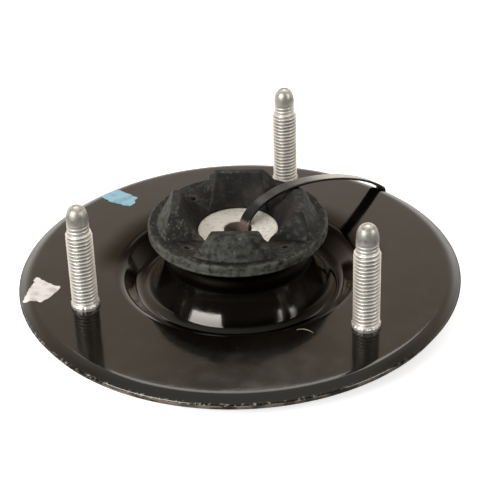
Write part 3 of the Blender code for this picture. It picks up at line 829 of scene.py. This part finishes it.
def coat_chips(f, polar):
    """Small chips along the rim, most of them on the side that was handled."""
    facing = f.math("COSINE", f.math("SUBTRACT", polar["Angle"], math.radians(-118)))
    rim = f.ramp(polar["Radius"], 0.0838, 0.0846)
    return f.product(f.ramp(facing, 0.2, 0.95, 0.15, 0.8), f.patches(900.0, 0.50, 0.72), rim)


def coat_shade(f, polar):
    """Painted shade in the trough, strongest behind the dome and to its right: a mask where the coat is made
    a near-black metal that reflects almost nothing.
    """
    radius = polar["Radius"]
    across = f.product(radius, f.math("COSINE", polar["Angle"]))
    beyond = f.product(radius, f.math("SINE", polar["Angle"]))
    slope = ring_mask(f, radius, (0.0385, 0.0405), (0.0490, 0.0440))
    right = ring_mask(f, radius, (0.0310, 0.0330), (0.0430, 0.0390))
    right = f.product(f.ramp(across, -0.040, 0.030, 0.2, 1.0), right)
    back = ring_mask(f, radius, (0.0310, 0.0330), (0.0600, 0.0490))
    back = f.product(back, f.ramp(beyond, -0.004, 0.012))
    shade = f.math("MAXIMUM", f.product(slope, 0.85), f.product(right, 0.8))
    return f.math("MAXIMUM", shade, f.product(back, 0.97))


def coat_finish():
    """Black coat on pressed steel: glossy, a little uneven, dusty, chipped at the cut edge, and with painted
    shade in the trough and under the cushion's flange.
    """
    f = Finish("black_coat", Specular_Tint=(1.0, 0.95, 0.88, 1.0))
    polar = f.polar()
    film = f.patches(30.0, 0.42, 0.72)
    specks = f.patches(1500.0, 0.72, 0.80)
    colour = f.mix(f.product(film, 0.35), (0.0028, 0.0022, 0.0016), (0.008, 0.006, 0.004))
    colour = f.mix(f.product(specks, 0.22), colour, (0.30, 0.27, 0.24))
    cut = f.product(f.ramp(polar["Radius"], 0.0831, 0.0834), f.ramp(polar["Height"], 0.0103, 0.0100))
    # The sheared edge: bare steel in dark brown patches, its beige partly a painted reflection of the warm
    # floor.
    sheared = f.mix(f.patches(170.0, 0.38, 0.62), (0.06, 0.048, 0.036), (0.42, 0.34, 0.25))
    chips = coat_chips(f, polar)
    f.set("Base Color", f.mix(chips, f.mix(cut, colour, sheared), (0.30, 0.27, 0.24)))
    # Painted shade under the cushion's flange: high on the dome the coat is made a near-black metal, and
    # rougher, so it shows no reflections.
    bend = f.ramp(polar["Height"], 0.0165, 0.0187)
    # Painted shade: in the trough the coat is made a near-black metal that reflects almost nothing.
    f.set("Metallic", f.math("MAXIMUM", bend, coat_shade(f, polar)))
    streaks = {"X": f.product(polar["Angle"], 3.0), "Y": f.product(polar["Radius"], 40.0)}
    streaks = f.patches(4.0, 0.35, 0.75, f.node("ShaderNodeCombineXYZ", streaks).outputs["Vector"])
    gloss = f.math("ADD", f.product(film, 0.05), f.product(streaks, 0.04))
    bare = f.math("MAXIMUM", cut, f.math("MAXIMUM", chips, bend))
    f.set("Roughness", f.math("ADD", f.math("ADD", gloss, 0.08), f.product(bare, 0.35)))
    waves = f.bump(f.noise(45.0, 2.0), 0.00010)
    f.set("Normal", f.bump(f.noise(900.0, 4.0), 0.000012, waves))
    return f.material


def zinc_finish():
    """Dull zinc plate: a fine even grain, painted shade in the thread's roots, and grey on the nose."""
    f = Finish("zinc", Metallic=0.65)
    place = f.node("ShaderNodeSeparateXYZ", {"Vector": f.uv}).outputs
    cloud = f.patches(160.0, 0.35, 0.70)
    colour = f.mix(cloud, (0.77, 0.73, 0.67), (0.64, 0.60, 0.54))
    nose = f.ramp(place["X"], 0.0350, 0.0385)
    colour = f.mix(f.product(nose, 0.8), colour, (0.30, 0.29, 0.25))
    blots = f.product(nose, f.patches(420.0, 0.50, 0.66))
    colour = f.mix(f.product(blots, 0.6), colour, (0.16, 0.15, 0.12))
    collar = f.ramp(place["X"], 0.0019, 0.0013)
    colour = f.mix(f.product(collar, 0.6), colour, (0.28, 0.26, 0.22))
    # Painted shade: the thread's roots are darkened by their depth, carried in the second UV coordinate.
    f.set("Base Color", f.mix(f.product(place["Y"], 0.80), colour, (0.10, 0.095, 0.080)))
    f.set("Roughness", f.math("ADD", f.product(cloud, 0.10), 0.38))
    f.set("Normal", f.bump(f.noise(1400.0, 3.0), 0.00003))
    return f.material


def rubber_dust(f, polar, bloom):
    """The rubber's black with grey dust, pale flecks, nicks and fine scratches round the axis, and an outer
    band that is part dust, part painted light.
    """
    colour = f.mix(bloom, (0.006, 0.0055, 0.0045), (0.017, 0.0160, 0.0135))
    colour = f.mix(f.product(f.patches(420.0, 0.50, 0.66), 0.40), colour, (0.065, 0.070, 0.060))
    flecks = f.product(f.patches(800.0, 0.60, 0.70), bloom)
    colour = f.mix(f.product(flecks, 0.55), colour, (0.20, 0.20, 0.17))
    nicks = f.product(f.patches(420.0, 0.66, 0.70), f.patches(120.0, 0.52, 0.60))
    round_axis = {"X": f.product(polar["Angle"], 1.5), "Y": f.product(polar["Radius"], 1400.0)}
    round_axis["Z"] = f.product(polar["Height"], 1400.0)
    lines = f.patches(1.0, 0.66, 0.74, f.node("ShaderNodeCombineXYZ", round_axis).outputs["Vector"])
    lines = f.product(lines, f.patches(80.0, 0.50, 0.60))
    colour = f.mix(f.product(f.math("MAXIMUM", nicks, lines), 0.7), colour, (0.26, 0.24, 0.20))
    # The flange's outer band: dust patches, lightened further as painted light from the front.
    band = f.product(f.ramp(polar["Radius"], 0.0330, 0.0340), f.patches(430.0, 0.35, 0.62))
    return f.mix(f.product(band, 0.50), colour, (0.110, 0.112, 0.092))


def rubber_sides(f, polar, colour):
    """The same, with dust on faces that look outward, lighter on the left as painted light, painted shade on
    faces that look inward, and brown near the disc.
    """
    out = f.node("ShaderNodeVectorMath", {0: f.place, 1: (1.0, 1.0, 0.0)}, operation="MULTIPLY")
    out = f.node("ShaderNodeVectorMath", {0: out.outputs["Vector"]}, operation="NORMALIZE")
    out = f.node("ShaderNodeVectorMath", {0: out.outputs["Vector"], 1: f.normal}, operation="DOT_PRODUCT")
    painted_inward_shade = f.ramp(out.outputs["Value"], 0.1, -0.5)
    outward = f.product(f.ramp(out.outputs["Value"], 0.3, 0.8), f.patches(500.0, 0.30, 0.65))
    across = f.node("ShaderNodeSeparateXYZ", {"Vector": f.place}).outputs["X"]
    # Painted light: outward faces are lighter on the left than on the right.
    painted_left_light = f.ramp(across, 0.020, -0.020, 0.15, 0.60)
    colour = f.mix(f.product(outward, painted_left_light), colour, (0.085, 0.086, 0.072))
    rust = f.product(f.ramp(polar["Radius"], 0.0270, 0.0165), f.patches(110.0, 0.38, 0.62))
    colour = f.mix(f.product(rust, 0.4), colour, (0.070, 0.045, 0.036))
    # Painted shade: faces that look inward are darkened.
    return f.mix(f.product(painted_inward_shade, 0.7), colour, (0.006, 0.0055, 0.005))


def rubber_pinholes(f, polar, colour):
    """The same, with painted shade, black, in the four pinholes, and brown round them.

    Four times the angle from a valley repeats in each quarter, so its sine over four, times
    the radius, is how far a point lies beside the nearest pinhole.
    """
    quarters = f.product(f.math("SUBTRACT", polar["Angle"], CUSHION_TURN + math.pi / 4), 4.0)
    aside = f.product(f.math("SINE", quarters), 0.25, polar["Radius"])
    along = f.math("SUBTRACT", polar["Radius"], PINHOLE_PLACE * MM)
    away = f.math("SQRT", f.math("ADD", f.product(aside, aside), f.product(along, along)))
    valley = f.product(f.ramp(f.math("COSINE", quarters), 0.0, 0.3), f.ramp(polar["Height"], 0.0290, 0.0295))
    colour = f.mix(f.product(f.ramp(away, 0.0030, 0.0014), valley, 0.5), colour, (0.07, 0.05, 0.04))
    # Painted shade: black inside each pinhole.
    return f.mix(f.product(f.ramp(away, 0.0013, 0.0008), valley), colour, (0.001, 0.001, 0.001))


def rubber_finish():
    """Moulded black rubber: dusty and lightly scuffed, with a coarse grain, and with painted light and shade
    on its sides and in its pinholes.
    """
    f = Finish("rubber", Specular_IOR_Level=0.14)
    polar = f.polar()
    bloom = f.patches(70.0, 0.36, 0.66)
    colour = rubber_sides(f, polar, rubber_dust(f, polar, bloom))
    f.set("Base Color", rubber_pinholes(f, polar, colour))
    f.set("Roughness", f.math("ADD", f.product(bloom, 0.12), 0.60))
    lumps = f.bump(f.noise(150.0, 2.0), 0.00035)
    f.set("Normal", f.bump(f.noise(650.0, 5.0), 0.00018, lumps))
    return f.material


def steel_finish():
    """Bare machined steel, dulled by stains and specks, brown at the edges of the disc, lighter toward +X as
    painted light against the tie's shadow, and darker inside the bore as painted shade.
    """
    f = Finish("bare_steel", Metallic=0.1)
    polar = f.polar()
    radius = polar["Radius"]
    stains = f.patches(140.0, 0.45, 0.72)
    across = f.node("ShaderNodeSeparateXYZ", {"Vector": f.place}).outputs["X"]
    # Painted light: the disc is lighter toward +X, lifting the tie's shadow.
    colour = f.mix(f.ramp(across, -0.004, 0.008), (0.52, 0.49, 0.43), (0.66, 0.62, 0.55))
    colour = f.mix(f.product(stains, 0.35), colour, (0.50, 0.44, 0.36))
    colour = f.mix(f.product(f.patches(750.0, 0.54, 0.64), 0.45), colour, (0.24, 0.21, 0.17))
    rim = f.math("MAXIMUM", f.ramp(radius, 0.0143, 0.0153), f.ramp(radius, 0.0064, 0.0053))
    rim = f.product(rim, f.patches(300.0, 0.30, 0.62))
    colour = f.mix(f.product(rim, 0.7), colour, (0.28, 0.20, 0.15))
    # Painted shade: darker and brown inside the bore.
    bore = f.product(f.ramp(radius, 0.00545, 0.00530), f.ramp(polar["Height"], 0.0293, 0.0289))
    f.set("Base Color", f.mix(bore, colour, (0.12, 0.095, 0.075)))
    f.set("Roughness", f.math("ADD", f.product(stains, 0.12), 0.50))
    f.set("Normal", f.bump(f.lines(radius, 6000.0), 0.000006))
    return f.material


def nylon_finish():
    """Satin black nylon with fine lines along it, a painted reflection on its upward faces toward the rim,
    and a painted brown highlight where it turns down into the bore.
    """
    f = Finish("nylon", Specular_IOR_Level=0.25)
    polar = f.polar()
    radius, height = polar["Radius"], polar["Height"]
    wear = f.patches(220.0, 0.45, 0.75)
    colour = f.mix(wear, (0.006, 0.006, 0.005), (0.014, 0.013, 0.011))
    # Painted reflection: upward faces toward the rim are lightened as if mirroring the bright surround.
    level = f.ramp(f.node("ShaderNodeSeparateXYZ", {"Vector": f.normal}).outputs["Z"], 0.2, 0.6)
    painted_top_reflection = f.product(level, f.ramp(radius, 0.036, 0.056))
    colour = f.mix(f.product(painted_top_reflection, 0.85), colour, (0.42, 0.38, 0.32))
    # Painted highlight: brown where the tie turns down into the bore beside the disc.
    painted_end_highlight = f.product(f.ramp(height, 0.0245, 0.0255), f.ramp(height, 0.0315, 0.0303))
    painted_end_highlight = f.product(painted_end_highlight, f.ramp(radius, 0.0085, 0.0070))
    f.set("Base Color", f.mix(f.product(painted_end_highlight, 0.7), colour, (0.17, 0.115, 0.095)))
    f.set("Roughness", f.math("ADD", f.product(wear, 0.12), 0.22))
    across = f.node("ShaderNodeSeparateXYZ", {"Vector": f.uv}).outputs["Y"]
    f.set("Normal", f.bump(f.lines(across, 14.0), 0.00006))
    return f.material


def paint_finish(name, colour, thin):
    """A dab of marking paint, thinner and darker where it was dragged."""
    f = Finish(name)
    worn = f.patches(260.0, 0.30, 0.55)
    f.set("Base Color", f.mix(worn, thin, colour))
    f.set("Roughness", f.math("ADD", f.product(worn, 0.10), 0.42))
    f.set("Normal", f.bump(f.noise(900.0, 3.0), 0.00003))
    return f.material


def make_part():
    """Every piece of the mount."""
    coat, zinc, rubber = coat_finish(), zinc_finish(), rubber_finish()
    steel, nylon = steel_finish(), nylon_finish()
    make_plate(coat)
    for name in STUDS:
        make_stud(name, zinc)
    make_upper_cushion(rubber)
    make_sleeve(steel)
    make_lower_cushion(rubber)
    make_washer(steel)
    make_tie(nylon)
    blue = paint_finish("blue_paint", (0.19, 0.37, 0.44), (0.11, 0.24, 0.30))
    white = paint_finish("white_paint", (0.58, 0.54, 0.52), (0.36, 0.32, 0.29))
    make_mark("blue_dab", BLUE_DAB, blue, 3)
    make_mark("white_dab", WHITE_DAB, white, 5)
    make_lint(paint_finish("fibre_white", (0.30, 0.27, 0.20), (0.22, 0.20, 0.15)))


def paper_finish():
    """White paper for the floor, which shows dark in the part's own reflections near the camera."""
    paper = bpy.data.materials.new("paper")
    paper.use_nodes = True
    tree = paper.node_tree
    shader = tree.nodes["Principled BSDF"]
    shader.inputs["Roughness"].default_value = 0.9
    shader.inputs["Specular IOR Level"].default_value = 0.0
    shader.inputs["Emission Color"].default_value = (1.0, 1.0, 1.0, 1.0)
    seen = tree.nodes.new("ShaderNodeLightPath").outputs["Is Camera Ray"]
    lift = node(tree, "ShaderNodeMath", {0: seen, 1: PAPER_LIFT}, operation="MULTIPLY")
    tree.links.new(lift.outputs["Value"], shader.inputs["Emission Strength"])
    place = node(tree, "ShaderNodeTexCoord").outputs["Object"]
    place = node(tree, "ShaderNodeSeparateXYZ", {"Vector": place})
    near = {"Value": place.outputs["Y"], "From Min": -0.05, "From Max": 0.15, "To Min": 0.05}
    near = node(tree, "ShaderNodeMapRange", {**near, "To Max": PAPER_WHITE})
    shade = {"Value": seen, "To Min": near.outputs["Result"], "To Max": PAPER_WHITE}
    shade = node(tree, "ShaderNodeMapRange", shade)
    tree.links.new(shade.outputs["Result"], shader.inputs["Base Color"])
    return paper


def make_floor():
    """The floor, a large square just under the part."""
    mesh = bpy.data.meshes.new("floor")
    reach = FLOOR_REACH
    corners = [(-reach, -reach), (reach, -reach), (reach, reach), (-reach, reach)]
    mesh.from_pydata([(x, y, FLOOR_LEVEL) for x, y in corners], [], [(0, 1, 2, 3)])
    mesh.materials.append(paper_finish())
    floor = bpy.data.objects.new("floor", mesh)
    bpy.context.scene.collection.objects.link(floor)


def soft_light(name, place, size, power, turn=0.0):
    """A soft box that faces the part, turned about its own axis."""
    light = bpy.data.lights.new(name, "AREA")
    light.shape = "RECTANGLE"
    light.size, light.size_y = size
    light.energy = power
    lamp = bpy.data.objects.new(name, light)
    lamp.location = place
    facing = (Vector((0.0, 0.0, 0.02)) - Vector(place)).to_track_quat("-Z", "Y")
    lamp.rotation_euler = (facing @ Quaternion((0, 0, 1), turn)).to_euler()
    bpy.context.scene.collection.objects.link(lamp)


def surround_strength(tree, parts):
    """How bright the surround is: dark behind the camera, bright overhead, dimmer straight back."""
    smooth = {"interpolation_type": "SMOOTHSTEP"}
    behind = {"Value": parts["Y"], "From Min": -0.35, "From Max": 0.55, "To Min": 0.02, "To Max": 1.0}
    behind = node(tree, "ShaderNodeMapRange", behind, **smooth)
    overhead = {"Value": parts["Z"], "From Min": 0.55, "From Max": 0.90}
    overhead = node(tree, "ShaderNodeMapRange", overhead, **smooth)
    both = {0: behind.outputs["Result"], 1: overhead.outputs["Result"]}
    both = node(tree, "ShaderNodeMath", both, operation="MAXIMUM")
    aside = node(tree, "ShaderNodeMath", {0: parts["X"]}, operation="ABSOLUTE")
    middle = {"Value": aside.outputs["Value"], "From Max": 0.085, "To Min": 0.45, "To Max": 1.0}
    middle = node(tree, "ShaderNodeMapRange", middle, **smooth)
    above = {"Value": parts["Z"], "From Min": 0.60, "From Max": 0.66, "To Max": 1.0}
    above = node(tree, "ShaderNodeMapRange", {**above, "To Min": middle.outputs["Result"]})
    raised = {"Value": parts["Z"], "From Min": 0.545, "From Max": 0.575, "To Min": 1.0}
    raised = node(tree, "ShaderNodeMapRange", {**raised, "To Max": above.outputs["Result"]})
    strength = {0: both.outputs["Value"], 1: raised.outputs["Result"]}
    return node(tree, "ShaderNodeMath", strength, operation="MULTIPLY").outputs["Value"]


def make_surround():
    """A pale surround: warm and bright low down, neutral overhead."""
    world = bpy.data.worlds.new("surround")
    bpy.context.scene.world = world
    world.use_nodes = True
    tree = world.node_tree
    background = tree.nodes["Background"]
    direction = node(tree, "ShaderNodeTexCoord").outputs["Generated"]
    parts = node(tree, "ShaderNodeSeparateXYZ", {"Vector": direction}).outputs
    tree.links.new(surround_strength(tree, parts), background.inputs["Strength"])
    sky = node(tree, "ShaderNodeValToRGB", {"Fac": parts["Z"]})
    low, high = sky.color_ramp.elements
    low.position, low.color = 0.25, (1.7, 1.6, 1.5, 1.0)
    high.position, high.color = 0.80, (0.80, 0.80, 0.78, 1.0)
    sky.color_ramp.elements.new(0.46).color = (1.12, 1.00, 0.90, 1.0)
    sky.color_ramp.elements.new(0.56).color = (0.95, 0.78, 0.62, 1.0)
    tree.links.new(sky.outputs["Color"], background.inputs["Color"])


def make_studio():
    """A pale floor, a pale surround that is darker behind the camera, and soft boxes."""
    make_floor()
    soft_light("box_left", (-0.70, -0.64, 0.50), (0.74, 0.46), 14.5, turn=0.16)
    soft_light("box_right", (0.88, -0.47, 0.48), (0.42, 0.40), 4.6)
    soft_light("box_back", (0.05, 0.76, 0.97), (0.7, 0.42), 2.8)
    make_surround()


def make_camera():
    """The camera, fitted to the plate's rim and the studs in the photograph.

    The focal length is in pixels of a 480-pixel frame. The camera looks down by its pitch,
    stands back from the middle of the plate's top face by its distance in millimetres, and
    is rolled a little.
    """
    pitch, roll, focal, distance = math.radians(31.56), math.radians(-2.01), 1500.0, 580.1
    right_of_middle, above_middle = -0.7, 25.8
    forward = Vector((0, math.cos(pitch), -math.sin(pitch)))
    level = Vector((0, math.sin(pitch), math.cos(pitch)))
    right = math.cos(roll) * Vector((1, 0, 0)) + math.sin(roll) * level
    up = right.cross(forward)
    place = -distance * forward - (right_of_middle * distance / focal) * right
    place += (above_middle * distance / focal) * up + Vector((0, 0, PLATE_TOP))
    data = bpy.data.cameras.new("camera")
    data.sensor_width = 36.0
    data.lens = focal / 480 * 36.0
    data.clip_start = 0.05
    camera = bpy.data.objects.new("camera", data)
    turn = Matrix((right, up, -forward)).transposed().to_4x4()
    camera.matrix_world = Matrix.Translation(place * MM) @ turn
    bpy.context.scene.collection.objects.link(camera)
    bpy.context.scene.camera = camera
    bpy.context.scene.view_settings.view_transform = "Standard"


make_part()
make_studio()
make_camera()
